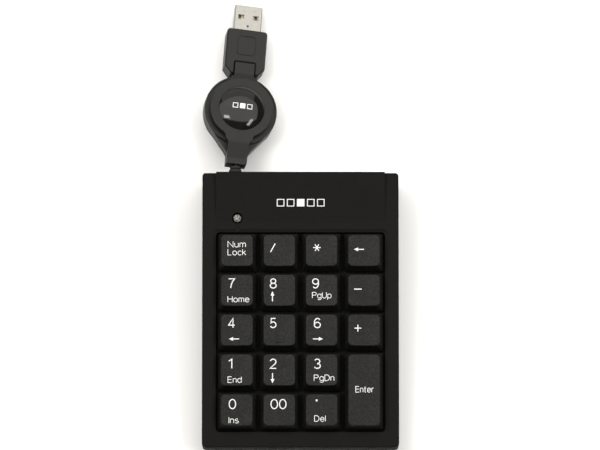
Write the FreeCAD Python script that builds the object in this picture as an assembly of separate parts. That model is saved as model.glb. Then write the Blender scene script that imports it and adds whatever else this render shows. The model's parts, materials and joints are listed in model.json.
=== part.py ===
import FreeCAD, Part
import math
import os
from FreeCAD import Placement, Rotation, Vector

# Numeric keypad with a cord reel and a USB plug, in millimetres.
# X to the right, Y towards the rear, Z up; the origin is on the desk below the middle of the case.

# ---------------------------------------------------------------- case
CASE_W = 84.0
CASE_D = 117.0
CASE_FRONT_R = 2.2
CASE_REAR_R = 1.4
WALL = 2.0
DECK_THICK = 2.0
DECK_SLOPE = 5.5
DECK_MID_Z = 18.9
CASE_UNDER_Z = 1.0
FLOOR_THICK = 1.5
PARTING_FRONT_Z = 5.6
PARTING_REAR_Z = 15.0
PARTING_GROOVE = 0.35
LIP_THICK = 0.9
LIP_HIGH = 1.2
LIP_GAP = 0.06
TOP_EDGE_R = 0.7
UNDER_EDGE_R = 0.9
FRONT_TUCK = 1.2
FRONT_TUCK_TOP_Z = 4.9
HUMP_HALF_W = 36.1
HUMP_START_Y = 37.4
HUMP_RISE = 2.0

# ---------------------------------------------------------------- key well, measured along the sloped deck
WELL_W = 72.3
WELL_FRONT_Y = -52.2
WELL_REAR_Y = 33.2
WELL_R = 1.7
WELL_FLOOR_Z = -5.4
WELL_FLOOR_THICK = 1.2
WELL_WALL = 1.5
WELL_BEVEL = 1.4
WELL_BEVEL_DEEP = 0.5

# ---------------------------------------------------------------- keys
COLUMN_X = [-27.0, -9.0, 9.0, 27.0]
ROW_Y = [24.6, 7.6, -9.4, -26.4, -43.4]
ENTER_Y = (ROW_Y[3] + ROW_Y[4]) / 2
ENTER_EXTRA = ROW_Y[3] - ROW_Y[4]
KEY_W = 16.6
KEY_D = 16.2
KEY_TOP = 13.35
KEY_TOP_D = 13.05
KEY_TOP_SHIFT = 0.4
KEY_SKIRT_Z = -2.2
KEY_TOP_Z = 4.5
KEY_WALL = 1.2
KEY_CROWN = 1.5
KEY_SKIRT_R = 1.0
KEY_TOP_R = 1.9
KEY_DISH = 0.5
KEY_EDGE_R = 0.35
STEM_W = 6.4
STEM_D = 5.0
STEM_WALL = 1.2
STEM_END_Z = -7.6
GUIDE_GAP = 0.15
GUIDE_WALL = 1.2
GUIDE_TOP_Z = -1.5
HOOK_OUT = 0.55
HOOK_HIGH = 0.85
PEG_R = 1.6
PEG_OFFSET = 11.0

# ---------------------------------------------------------------- key matrix and electronics
DOME_TOP_Z = -7.65
SHEET_TOP_Z = -10.85
SHEET_THICK = 0.3
DOME_BASE_R = 5.2
DOME_TOP_R = 2.6
DOME_WALL = 0.5
FILM_THICK = 0.12
FILM_HALF_W = 35.4
FILM_FRONT_Y = -50.0
FILM_REAR_Y = 34.5
TAIL_X = [-14.0, 10.0]
TAIL_REAR_Y = 41.8
CONTACT_HOLE_R = 2.5
FILM_TOP_Z = SHEET_TOP_Z - SHEET_THICK
FILM_BOTTOM_Z = FILM_TOP_Z - 3 * FILM_THICK
BOARD_X = [-31.0, 17.0]
BOARD_Y = [36.5, 53.4]
BOARD_THICK = 1.2
CLAMP_X = [-19.0, 15.0]
CLAMP_Y = [38.3, 41.7]
CLAMP_THICK = 2.0
CLAMP_SCREWS_X = [-16.6, 12.6]
LED_X = -27.0
LED_Y = 39.2
LED_R = 1.85
LED_HOLE_R = 2.35
LED_TOP_Z = -0.15

# ---------------------------------------------------------------- fasteners and feet
SCREW_R = 1.0
SCREW_HEAD_R = 1.9
SCREW_HEAD_HIGH = 1.3
SCREW_LONG = 8.0
BOSS_R = 2.2
CASE_SCREWS = [(-33.0, -54.1, 1.4), (33.0, -54.1, 1.4), (-35.3, 50.0, 9.2), (35.3, 50.0, 9.2)]
FEET = [(-33.0, -43.0), (33.0, -43.0), (-33.0, 41.0), (33.0, 41.0)]
FOOT_R = 4.5
FOOT_HIGH = 1.5
FOOT_SEAT = 0.5

# ---------------------------------------------------------------- lead and its boot
CORD_THICK = 0.9
CORD_WIDE = 2.6
CORD_X = -28.0
CORD_Z = 15.0
CORD_INSIDE = 6.0
BOOT_LONG = 4.6
BOOT_BASE = 6.5
BOOT_TIP = 4.3
BOOT_WINDOW = 4.8
BOOT_FLANGE = 7.4
CORE_R = 0.35

# ---------------------------------------------------------------- reel, in its own frame
# The reel's frame: origin at the middle of the disc, +Y towards the plug, +Z out of the cap.
REEL_YAW = -4.2
REEL_PITCH = -8.4
REEL_ROLL = 9.0
NECK_END_Y = -24.6
BOOT_TO_NECK = 0.5
SHELL_R = 15.8
SHELL_IN_R = 14.5
SHELL_LIP_R = 15.05
SHELL_BACK_Z = -6.5
SHELL_ROUND = 3.8
SHELL_SEAT_Z = 1.8
SHELL_RIM_Z = 2.9
SHELL_FLOOR = 1.2
DISC_R = 13.65
DISC_TOP_Z = 5.4
DISC_UNDER_Z = 3.6
RING_R = 12.9
RING_IN_R = 11.9
SEAT_FLANGE_R = 14.95
SEAT_FLANGE_TOP = 2.5
NECK_HIGH = 3.0
NECK_ROOT_Y = 7.0
PLUG_NECK_SHOULDER_Y = 12.6
CASE_NECK_SHOULDER_Y = 15.0
STRAP_TIP_Z = 2.6
MOUTH_INSET = 0.1
CAP_R = 9.9
CAP_SEAT_Z = 5.0
CAP_RIM = 0.45
CAP_DOME = 1.8
POST_R = 1.65
REEL_SCREW_LONG = 6.0
SPOOL_R = 14.0
SPOOL_BORE_R = 1.72
HUB_R = 4.9
SPOOL_WEB = [-2.0, -1.5]
SPOOL_TOP = [1.4, 1.7]
SPOOL_SKIRT_R = 12.3
SPOOL_SKIRT_THICK = 0.7
SPOOL_LOW_Z = -5.1
WIND_START_R = 6.0
WIND_STEP = 0.95
WIND_HALF_TURNS = 8
EXIT_ANGLE = 60.0
EXIT_BEND_R = 6.0
SPRING_START_R = 2.2
SPRING_STEP = 0.45
SPRING_HALF_TURNS = 20
SPRING_THICK = 0.15
SPRING_Z = [-5.0, -2.3]

# ---------------------------------------------------------------- plug, in the reel's frame
TONGUE_END_Y = 21.6
TONGUE_HALF_W = 4.25
PLUG_HALF_W = 8.8
PLUG_HALF_HIGH = 4.0
PLUG_NEAR_Y = 16.4
PLUG_FAR_Y = 37.2
PLUG_TIP_HALF_W = 6.1
PLUG_SHOULDER_Y = 19.7
NOTCH_HALF_W = 4.5
NOTCH_END_Y = 21.9
PLUG_EDGE = 0.5
PLUG_CORD_LONG = 7.0
USB_W = 12.0
USB_HIGH = 4.5
USB_WALL = 0.3
USB_LONG = 11.75
USB_INSIDE = 3.0
USB_WINDOW_X = 3.2
USB_WINDOW = [2.6, 2.1]
USB_WINDOW_FROM_TIP = 5.4
PANEL_W = 8.1
PANEL_D = 9.0
PANEL_Y = 29.5
PANEL_LINE = 0.35
PANEL_DEEP = 0.3


# ================================================================ shape helpers
def rounded_wire(corners, radii, z):
    """Closed wire through the corners at height z, each corner rounded with its own radius."""
    edges = []
    first = None
    last = None
    for i, (x, y) in enumerate(corners):
        here = Vector(x, y, z)
        back = Vector(corners[i - 1][0], corners[i - 1][1], z) - here
        ahead_x, ahead_y = corners[(i + 1) % len(corners)]
        ahead = Vector(ahead_x, ahead_y, z) - here
        back.normalize()
        ahead.normalize()
        start = here
        end = here
        arc = None
        if radii[i] > 0:
            half = back.getAngle(ahead) / 2
            inward = back + ahead
            inward.normalize()
            start = here + back * (radii[i] / math.tan(half))
            end = here + ahead * (radii[i] / math.tan(half))
            middle = here + inward * (radii[i] / math.sin(half) - radii[i])
            arc = Part.Arc(start, middle, end).toShape()
        if last is not None:
            edges.append(Part.LineSegment(last, start).toShape())
        if arc is not None:
            edges.append(arc)
        first = first or start
        last = end
    edges.append(Part.LineSegment(last, first).toShape())
    return Part.Wire(edges)


def rounded_prism(corners, radii, z0, z1):
    face = Part.Face(rounded_wire(corners, radii, z0))
    return face.extrude(Vector(0, 0, z1 - z0))


def rectangle(x0, x1, y0, y1):
    return [(x0, y0), (x1, y0), (x1, y1), (x0, y1)]


def box(x, y, z):
    """Block between the two limits given for each axis."""
    return Part.makeBox(x[1] - x[0], y[1] - y[0], z[1] - z[0], Vector(x[0], y[0], z[0]))


def rod(radius, x, y, z0, z1):
    return Part.makeCylinder(radius, z1 - z0, Vector(x, y, z0))


def side_prism(profile, half_w, mid_x=0.0):
    """Extrudes a polygon of (y, z) points along X."""
    points = [Vector(mid_x - half_w, y, z) for y, z in profile]
    face = Part.Face(Part.makePolygon(points + points[:1]))
    return face.extrude(Vector(2 * half_w, 0, 0))


def frustum(low, high):
    """Solid between two rounded rectangles, each (width, depth, corner radius, y shift, z)."""
    wires = []
    for width, depth, radius, shift, z in (low, high):
        corners = rectangle(-width / 2, width / 2, shift - depth / 2, shift + depth / 2)
        wires.append(rounded_wire(corners, [radius] * 4, z))
    return Part.makeLoft(wires, True, True)


def moved(shape, x, y, z=0.0):
    copy = shape.copy()
    copy.translate(Vector(x, y, z))
    return copy


def joined(shapes):
    shapes = list(shapes)
    return shapes[0].multiFuse(shapes[1:]).removeSplitter() if len(shapes) > 1 else shapes[0]


def placed(shape, placement):
    return shape.transformed(placement.toMatrix(), True)


# ================================================================ frames
DECK = Placement(Vector(0, 0, DECK_MID_Z), Rotation(Vector(1, 0, 0), DECK_SLOPE))
HALF_TURN = Placement(Vector(0, 0, 0), Rotation(Vector(0, 0, 1), 180))


def reel_frame():
    """The neck's end lies just behind the boot's tip, on the lead's line."""
    yaw = Rotation(Vector(0, 0, 1), REEL_YAW)
    pitch = Rotation(Vector(1, 0, 0), REEL_PITCH)
    roll = Rotation(Vector(0, 1, 0), REEL_ROLL)
    turn = yaw.multiply(pitch).multiply(roll)
    neck = Vector(CORD_X, CASE_D / 2 + BOOT_LONG + BOOT_TO_NECK, CORD_Z)
    return Placement(neck - turn.multVec(Vector(0, NECK_END_Y, 0)), turn)


REEL = reel_frame()


def on_deck(shape):
    return placed(shape, DECK)


def on_reel(shape):
    return placed(shape, REEL)


# ================================================================ case
def case_block(profile, inset):
    """Case outline drawn in by inset, cut to a side profile of (y, z) points."""
    half_w = CASE_W / 2 - inset
    half_d = CASE_D / 2 - inset
    front_r = max(CASE_FRONT_R - inset, 0.4)
    rear_r = max(CASE_REAR_R - inset, 0.4)
    outline = rounded_prism(
        rectangle(-half_w, half_w, -half_d, half_d), [front_r, front_r, rear_r, rear_r], -5.0, 45.0
    )
    return outline.common(side_prism(profile, CASE_W))


def deck_z(y, below=0.0):
    """World height of a surface parallel to the deck, at world y."""
    slope = math.radians(DECK_SLOPE)
    return DECK_MID_Z + y * math.tan(slope) - below / math.cos(slope)


def parting_z(y):
    share = (y + CASE_D / 2) / CASE_D
    return PARTING_FRONT_Z + (PARTING_REAR_Z - PARTING_FRONT_Z) * share


def wedge_profile(low_z, high_z):
    """Side profile from the front past the rear, between two height functions."""
    reach = CASE_D / 2 + 5.0
    ends = [(-reach, low_z(-reach)), (reach, low_z(reach))]
    return ends + [(reach, high_z(reach)), (-reach, high_z(-reach))]


def outline_edges(shape, height_of):
    """Edges of a case half whose ends both lie on the surface at height_of(y)."""
    found = []
    for edge in shape.Edges:
        on_it = [abs(v.Z - height_of(v.Y)) < 1e-3 for v in edge.Vertexes]
        if all(on_it):
            found.append(edge)
    return found


def hump():
    """Raised rear panel, flush with the deck at its front end."""
    low = -1.0
    reach = CASE_D / 2 + 3.0
    rise = HUMP_RISE * (reach - HUMP_START_Y) / (CASE_D / 2 - HUMP_START_Y)
    profile = [(HUMP_START_Y, low), (reach, low), (reach, rise), (HUMP_START_Y, 0.0)]
    block = on_deck(side_prism(profile, HUMP_HALF_W))
    everything = wedge_profile(lambda y: 0.0, lambda y: 60.0)
    return block.common(case_block(everything, 0.0))


def key_sites():
    """Centre of every dome: one for each key, with the double key's between its two rows."""
    sites = []
    for row, y in enumerate(ROW_Y):
        for column, x in enumerate(COLUMN_X):
            if column == 3 and row >= 3:
                continue
            sites.append((x, y))
    sites.append((COLUMN_X[3], ENTER_Y))
    return sites


def well_block():
    return on_deck(rounded_prism(
        rectangle(-WELL_W / 2 - WELL_WALL, WELL_W / 2 + WELL_WALL,
                  WELL_FRONT_Y - WELL_WALL, WELL_REAR_Y + WELL_WALL),
        [WELL_R] * 4, WELL_FLOOR_Z - WELL_FLOOR_THICK, -DECK_THICK / 2))


def well_hollow():
    mid_y = (WELL_FRONT_Y + WELL_REAR_Y) / 2
    depth = WELL_REAR_Y - WELL_FRONT_Y
    low = (WELL_W, depth, WELL_R, mid_y, -WELL_BEVEL_DEEP)
    over = 1.0 + 1.0 / WELL_BEVEL_DEEP
    spread = 2 * WELL_BEVEL * over
    high = (WELL_W + spread, depth + spread, WELL_R + WELL_BEVEL, mid_y, 1.0)
    pocket = rounded_prism(
        rectangle(-WELL_W / 2, WELL_W / 2, WELL_FRONT_Y, WELL_REAR_Y), [WELL_R] * 4,
        WELL_FLOOR_Z, -WELL_BEVEL_DEEP)
    return on_deck(pocket.fuse(frustum(low, high)))


def guide_chimneys():
    half_w = STEM_W / 2 + GUIDE_GAP + GUIDE_WALL
    half_d = STEM_D / 2 + GUIDE_GAP + GUIDE_WALL
    low = WELL_FLOOR_Z - WELL_FLOOR_THICK
    chimneys = []
    for x, y in key_sites():
        chimneys.append(box([x - half_w, x + half_w], [y - half_d, y + half_d], [low, GUIDE_TOP_Z]))
    for side in (-1, 1):
        y = ENTER_Y + side * PEG_OFFSET
        chimneys.append(rod(PEG_R + GUIDE_GAP + GUIDE_WALL, COLUMN_X[3], y, low, GUIDE_TOP_Z))
    return on_deck(joined(chimneys))


def guide_holes():
    half_w = STEM_W / 2 + GUIDE_GAP
    half_d = STEM_D / 2 + GUIDE_GAP
    span = [WELL_FLOOR_Z - WELL_FLOOR_THICK - 1.0, GUIDE_TOP_Z + 1.0]
    holes = []
    for x, y in key_sites():
        holes.append(box([x - half_w, x + half_w], [y - half_d, y + half_d], span))
    for side in (-1, 1):
        y = ENTER_Y + side * PEG_OFFSET
        holes.append(rod(PEG_R + GUIDE_GAP, COLUMN_X[3], y, span[0], span[1]))
    return on_deck(Part.makeCompound(holes))


def top_cover():
    outer = case_block(wedge_profile(lambda y: parting_z(y) + PARTING_GROOVE, deck_z), 0.0)
    outer = outer.makeFillet(TOP_EDGE_R, outline_edges(outer, deck_z))
    cavity = case_block(wedge_profile(lambda y: 0.0, lambda y: deck_z(y, DECK_THICK)), WALL)
    rebate_top = LIP_HIGH + LIP_GAP
    rebate = case_block(
        wedge_profile(lambda y: 0.0, lambda y: parting_z(y) + rebate_top), WALL - LIP_THICK - LIP_GAP)
    bosses = []
    for x, y, head_z in CASE_SCREWS:
        low = parting_z(y) + 0.3
        bosses.append(rod(BOSS_R, x, y, low, deck_z(y, DECK_THICK / 2)))
    cover = joined([outer.cut(cavity).cut(rebate), hump(), well_block()] + bosses)
    cover = cover.cut(well_hollow()).fuse(guide_chimneys()).cut(guide_holes())
    for x, y, head_z in CASE_SCREWS:
        tip = head_z + SCREW_HEAD_HIGH + SCREW_LONG
        cover = cover.cut(rod(SCREW_R + 0.03, x, y, 0.0, tip + 0.5))
    led_hole = rod(LED_HOLE_R, LED_X, LED_Y, -4.0, 4.0)
    groove = side_prism(
        [(WELL_REAR_Y, 1.0), (LED_Y, 1.0), (LED_Y, -0.35), (WELL_REAR_Y, -0.35)], 0.7, LED_X)
    cover = cover.cut(on_deck(led_hole)).cut(on_deck(groove))
    return cover.cut(boot_window())


def boot_window():
    half = BOOT_WINDOW / 2
    rear = CASE_D / 2
    span = [rear - WALL - 1.0, rear + 1.0]
    return box([CORD_X - half, CORD_X + half], span, [CORD_Z - half, CORD_Z + half])


def support_ribs():
    """Ribs lengthwise and across under the films, up to the lowest film."""
    thick = 1.2
    ribs = []
    for x in (-31.0, -23.0, -13.0, -5.0, 5.0, 13.0, 23.0, 31.0):
        ribs.append(box([x - thick / 2, x + thick / 2], [-46.0, 33.0], [CASE_UNDER_Z + 0.6, 40.0]))
    for y in ROW_Y[:-1]:
        ribs.append(box([-31.6, 31.6], [y - thick / 2, y + thick / 2], [CASE_UNDER_Z + 0.6, 40.0]))
    below_films = on_deck(box([-60, 60], [-80, 80], [-60, FILM_BOTTOM_Z]))
    return joined(ribs).common(below_films)


def board_posts():
    below_board = on_deck(box([-60, 60], [-80, 80], [-60, FILM_BOTTOM_Z - BOARD_THICK]))
    clamp_y = sum(CLAMP_Y) / 2
    sites = [(x, clamp_y, 2.0) for x in CLAMP_SCREWS_X]
    sites += [(BOARD_X[0] + 2.5, BOARD_Y[1] - 2.0, 1.6), (BOARD_X[1] - 2.5, BOARD_Y[1] - 2.0, 1.6)]
    posts = [on_deck(rod(r, x, y, -40.0, 0.0)) for x, y, r in sites]
    above_floor = box([-60, 60], [-80, 80], [CASE_UNDER_Z + 0.6, 40])
    posts = joined(posts).common(below_board).common(above_floor)
    pilots = [on_deck(rod(SCREW_R - 0.1, x, clamp_y, -17.0, 0.0)) for x in CLAMP_SCREWS_X]
    return posts.cut(Part.makeCompound(pilots))


def front_tuck():
    """Wedge that draws the foot of the front wall in under its upper edge."""
    front = -CASE_D / 2
    profile = [(front - 1.0, 0.0), (front + FRONT_TUCK, 0.0), (front + FRONT_TUCK, CASE_UNDER_Z),
               (front, FRONT_TUCK_TOP_Z), (front - 1.0, FRONT_TUCK_TOP_Z)]
    return side_prism(profile, CASE_W)


def bottom_cover():
    outer = case_block(wedge_profile(lambda y: CASE_UNDER_Z, parting_z), 0.0)
    outer = outer.makeFillet(UNDER_EDGE_R, outline_edges(outer, lambda y: CASE_UNDER_Z))
    outer = outer.cut(front_tuck())
    floor_top = CASE_UNDER_Z + FLOOR_THICK
    cavity = case_block(wedge_profile(lambda y: floor_top, lambda y: 50.0), WALL)
    lip_outer = case_block(
        wedge_profile(lambda y: parting_z(y) - 0.5, lambda y: parting_z(y) + LIP_HIGH), WALL - LIP_THICK)
    tray = joined([outer, lip_outer]).cut(cavity)
    tubes = []
    bores = []
    for x, y, head_z in CASE_SCREWS:
        tubes.append(rod(BOSS_R + 0.6, x, y, CASE_UNDER_Z + 0.3, parting_z(y) + 0.1))
        bores.append(rod(SCREW_HEAD_R + 0.2, x, y, 0.0, head_z + SCREW_HEAD_HIGH))
        bores.append(rod(SCREW_R + 0.15, x, y, 0.0, 30.0))
    seats = [rod(FOOT_R + 0.05, x, y, 0.0, CASE_UNDER_Z + FOOT_SEAT) for x, y in FEET]
    tray = joined([tray, support_ribs(), board_posts()] + tubes)
    tray = tray.cut(Part.makeCompound(bores)).cut(Part.makeCompound(seats))
    return tray.cut(boot_window())


def case_screws():
    """Pan-head screws: shank, head and a cross recess in the head's underside."""
    screws = []
    for x, y, head_z in CASE_SCREWS:
        head = rod(SCREW_HEAD_R, x, y, head_z, head_z + SCREW_HEAD_HIGH)
        shank = rod(SCREW_R, x, y, head_z + SCREW_HEAD_HIGH, head_z + SCREW_HEAD_HIGH + SCREW_LONG)
        slots = cross_recess(x, y, head_z, 0.7)
        screws.append(head.makeFillet(0.4, [head.Edges[2]]).fuse(shank).cut(slots))
    return Part.makeCompound(screws)


def cross_recess(x, y, z, deep):
    """Two crossed slots around z, to cut from a screw's head."""
    arm = 1.1
    half = 0.25
    one = box([x - arm, x + arm], [y - half, y + half], [z - deep, z + deep])
    other = box([x - half, x + half], [y - arm, y + arm], [z - deep, z + deep])
    return one.fuse(other)


def rubber_feet():
    feet = []
    for x, y in FEET:
        foot = rod(FOOT_R, x, y, 0.0, FOOT_HIGH)
        feet.append(foot.makeChamfer(0.4, [foot.Edges[2]]))
    return Part.makeCompound(feet)


# ================================================================ keys
def keycap(extra):
    """Hollow cap at the deck's origin, with a dished top; extra is added to the depth."""
    outer = frustum(
        (KEY_W, KEY_D + extra, KEY_SKIRT_R, 0.0, KEY_SKIRT_Z),
        (KEY_TOP, KEY_TOP_D + extra, KEY_TOP_R, KEY_TOP_SHIFT, KEY_TOP_Z))
    half = KEY_TOP / 2
    dish_r = (half * half + KEY_DISH * KEY_DISH) / (2 * KEY_DISH)
    reach = KEY_D + extra
    dish = Part.makeCylinder(
        dish_r, 2 * reach, Vector(0, -reach, KEY_TOP_Z - KEY_DISH + dish_r), Vector(0, 1, 0))
    outer = outer.cut(dish)
    inner = frustum(
        (KEY_W - 2 * KEY_WALL, KEY_D + extra - 2 * KEY_WALL, 0.6, 0.0, KEY_SKIRT_Z - 0.01),
        (KEY_TOP - 1.6, KEY_TOP_D + extra - 1.6, 0.9, KEY_TOP_SHIFT, KEY_TOP_Z - KEY_CROWN - KEY_DISH))
    rim = [e for e in outer.Edges if min(v.Z for v in e.Vertexes) > KEY_TOP_Z - KEY_DISH - 0.2]
    return outer.makeFillet(KEY_EDGE_R, rim).cut(inner)


def key_stem():
    ceiling = KEY_TOP_Z - KEY_CROWN - KEY_DISH + 0.3
    outer = box([-STEM_W / 2, STEM_W / 2], [-STEM_D / 2, STEM_D / 2], [STEM_END_Z, ceiling])
    half_w = STEM_W / 2 - STEM_WALL
    half_d = STEM_D / 2 - STEM_WALL
    core = box([-half_w, half_w], [-half_d, half_d], [STEM_END_Z + 1.0, ceiling])
    hook_top = WELL_FLOOR_Z - WELL_FLOOR_THICK - 0.05
    hooks = []
    for side in (-1, 1):
        root = side * (STEM_W / 2 - 0.2)
        tip = side * (STEM_W / 2 + HOOK_OUT)
        points = [Vector(root, -1.2, hook_top), Vector(tip, -1.2, hook_top)]
        points += [Vector(root, -1.2, hook_top - HOOK_HIGH)]
        hooks.append(Part.Face(Part.makePolygon(points + points[:1])).extrude(Vector(0, 2.4, 0)))
    return joined([outer.cut(core)] + hooks)


def key():
    return keycap(0.0).fuse(key_stem())


def enter_key():
    """Double-depth key: a stem in the middle and a round guide peg at each end."""
    ceiling = KEY_TOP_Z - KEY_CROWN - KEY_DISH + 0.3
    end = WELL_FLOOR_Z - WELL_FLOOR_THICK + 0.2
    pegs = [rod(PEG_R, 0.0, side * PEG_OFFSET, end, ceiling) for side in (-1, 1)]
    return joined([keycap(ENTER_EXTRA), key_stem()] + pegs)


KEY_NAMES = [
    ["key_num_lock", "key_divide", "key_multiply", "key_backspace"],
    ["key_7", "key_8", "key_9", "key_minus"],
    ["key_4", "key_5", "key_6", "key_plus"],
    ["key_1", "key_2", "key_3", None],
    ["key_0", "key_00", "key_decimal", None],
]


def keys():
    shape = key()
    made = {}
    for row, names in enumerate(KEY_NAMES):
        for column, name in enumerate(names):
            if name:
                made[name] = on_deck(moved(shape, COLUMN_X[column], ROW_Y[row]))
    made["key_5"] = made["key_5"].fuse(homing_bar())
    made["key_enter"] = on_deck(moved(enter_key(), COLUMN_X[3], ENTER_Y))
    return made


def homing_bar():
    """Small raised bar near the front edge of the middle key."""
    y = ROW_Y[2] + KEY_TOP_SHIFT - KEY_TOP_D / 2 + 1.6
    top = KEY_TOP_Z - KEY_DISH + 0.35
    bar = box([COLUMN_X[1] - 1.6, COLUMN_X[1] + 1.6], [y - 0.3, y + 0.3], [KEY_TOP_Z - KEY_DISH - 0.4, top])
    return on_deck(bar.makeFillet(0.18, bar.Edges))


# ================================================================ key matrix
def dome_sheet():
    sheet = box([-FILM_HALF_W, FILM_HALF_W], [FILM_FRONT_Y, FILM_REAR_Y], [FILM_TOP_Z, SHEET_TOP_Z])
    high = DOME_TOP_Z - FILM_TOP_Z
    domes = []
    hollows = []
    for x, y in key_sites():
        domes.append(Part.makeCone(DOME_BASE_R, DOME_TOP_R, high, Vector(x, y, FILM_TOP_Z)))
        hollows.append(Part.makeCone(
            DOME_BASE_R - DOME_WALL, DOME_TOP_R - DOME_WALL, high - DOME_WALL, Vector(x, y, FILM_TOP_Z)))
    return on_deck(joined([sheet] + domes).cut(Part.makeCompound(hollows)))


def film(level, pierced):
    """One film of the key matrix, with a tail at the rear; level 0 is the top one."""
    z1 = FILM_TOP_Z - level * FILM_THICK
    z0 = z1 - FILM_THICK
    sheet = box([-FILM_HALF_W, FILM_HALF_W], [FILM_FRONT_Y, FILM_REAR_Y], [z0, z1])
    sheet = sheet.fuse(box(TAIL_X, [FILM_REAR_Y - 1.0, TAIL_REAR_Y], [z0, z1])).removeSplitter()
    if pierced:
        holes = [rod(CONTACT_HOLE_R, x, y, z0 - 1, z1 + 1) for x, y in key_sites()]
        sheet = sheet.cut(Part.makeCompound(holes))
    return on_deck(sheet)


def controller_board():
    board = box(BOARD_X, BOARD_Y, [FILM_BOTTOM_Z - BOARD_THICK, FILM_BOTTOM_Z])
    clamp_y = sum(CLAMP_Y) / 2
    for x in CLAMP_SCREWS_X:
        board = board.cut(rod(SCREW_R + 0.1, x, clamp_y, -20.0, 0.0))
    return on_deck(board)


def controller_chip():
    chip = box([-5.0, 3.0], [45.0, 51.0], [FILM_BOTTOM_Z, FILM_BOTTOM_Z + 1.6])
    return on_deck(chip.makeChamfer(0.3, chip.Edges))


def membrane_clamp():
    bar = box(CLAMP_X, CLAMP_Y, [FILM_TOP_Z, FILM_TOP_Z + CLAMP_THICK])
    ends = []
    for x0, x1 in ((CLAMP_X[0], TAIL_X[0] - 0.3), (TAIL_X[1] + 0.3, CLAMP_X[1])):
        ends.append(box([x0, x1], CLAMP_Y, [FILM_BOTTOM_Z, FILM_TOP_Z + 0.1]))
    clamp = joined([bar] + ends)
    for x in CLAMP_SCREWS_X:
        clamp = clamp.cut(rod(SCREW_R + 0.1, x, sum(CLAMP_Y) / 2, -20.0, 0.0))
    return on_deck(clamp)


def clamp_screws():
    top = FILM_TOP_Z + CLAMP_THICK
    y = sum(CLAMP_Y) / 2
    screws = []
    for x in CLAMP_SCREWS_X:
        head = rod(1.6, x, y, top, top + 1.0)
        shank = rod(SCREW_R - 0.12, x, y, -16.5, top)
        screws.append(head.fuse(shank).cut(cross_recess(x, y, top + 1.0, 0.5)))
    return on_deck(Part.makeCompound(screws))


def indicator_led():
    """Lamp with a domed top, a cup inside the dome's front ring, and two legs on the board."""
    dome = Part.makeSphere(LED_R, Vector(LED_X, LED_Y, LED_TOP_Z - LED_R * 0.55))
    tube = rod(LED_R, LED_X, LED_Y, FILM_BOTTOM_Z + 4.0, LED_TOP_Z - LED_R * 0.55)
    top_limit = box([LED_X - 5, LED_X + 5], [LED_Y - 5, LED_Y + 5], [-20.0, LED_TOP_Z])
    legs = []
    for side in (-1, 1):
        x = LED_X + side * 1.0
        span_y = [LED_Y - 0.25, LED_Y + 0.25]
        legs.append(box([x - 0.25, x + 0.25], span_y, [FILM_BOTTOM_Z, FILM_BOTTOM_Z + 4.5]))
    return on_deck(joined([tube, dome.common(top_limit)] + legs))


# ================================================================ lead in the case
def strain_relief():
    """Rubber boot: tapered and slotted outside the wall, a square neck in it and a flange inside."""
    rear = CASE_D / 2
    outside = frustum((BOOT_BASE, BOOT_BASE, 1.2, 0.0, 0.0), (BOOT_TIP, BOOT_TIP, 1.0, 0.0, BOOT_LONG))
    for z in (1.4, 3.0):
        ring = box([-5, 5], [-5, 5], [z, z + 0.6]).cut(box([-1.6, 1.6], [-1.6, 1.6], [z, z + 0.6]))
        outside = outside.cut(ring)
    half = BOOT_WINDOW / 2 - 0.05
    neck = box([-half, half], [-half, half], [-WALL - 0.1, 0.1])
    flange_half = BOOT_FLANGE / 2
    flange = box([-flange_half, flange_half], [-flange_half, flange_half], [-WALL - 1.6, -WALL - 0.1])
    boot = joined([outside, neck, flange])
    boot = boot.cut(box([-CORD_THICK / 2, CORD_THICK / 2], [-CORD_WIDE / 2, CORD_WIDE / 2], [-9, 9]))
    turned = Placement(Vector(CORD_X, rear, CORD_Z), Rotation(Vector(1, 0, 0), -90))
    return placed(boot, turned)


def keypad_cord():
    """The flat lead from the boot's tip to just inside the case."""
    rear = CASE_D / 2
    half_t = CORD_THICK / 2
    half_w = CORD_WIDE / 2
    return box([CORD_X - half_t, CORD_X + half_t], [rear - CORD_INSIDE, rear + BOOT_LONG],
               [CORD_Z - half_w, CORD_Z + half_w])


def lead_wires():
    """Four cores side by side, from the lead's cut end down to the board."""
    board_top = DECK.multVec(Vector(0, 49.0, FILM_BOTTOM_Z)).z
    start_y = CASE_D / 2 - CORD_INSIDE - 0.3
    wires = []
    for i in range(4):
        high = CORD_Z + (i - 1.5) * 0.75
        foot_x = CORD_X + 2.0 + i * 2.0
        points = [Vector(CORD_X, start_y, high), Vector(foot_x, start_y - 2.0, high)]
        points.append(Vector(foot_x, start_y - 4.0, board_top + CORE_R))
        run = [rod_between(points[0], points[1], CORE_R), rod_between(points[1], points[2], CORE_R)]
        wires.append(joined(run + [Part.makeSphere(CORE_R, points[1])]))
    return Part.makeCompound(wires)


def rod_between(start, end, radius):
    along = end - start
    return Part.makeCylinder(radius, along.Length, start, along)


# ================================================================ ribbons: cord and spring
def ribbon_side(route, offset):
    """Edges of a planar route shifted to its left by offset.

    A route is a list of ("line", start, end) and ("arc", centre, radius, from degrees, to degrees).
    """
    edges = []
    for part in route:
        if part[0] == "line":
            start, end = part[1], part[2]
            along = end - start
            along.normalize()
            left = Vector(-along.y, along.x, 0) * offset
            edges.append(Part.LineSegment(start + left, end + left).toShape())
            continue
        centre, radius, low, high = part[1:]
        radius = radius - offset if high > low else radius + offset
        points = [arc_point(centre, radius, a) for a in (low, (low + high) / 2, high)]
        edges.append(Part.Arc(*points).toShape())
    return edges


def arc_point(centre, radius, degrees):
    angle = math.radians(degrees)
    return centre + Vector(math.cos(angle), math.sin(angle), 0) * radius


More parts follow.
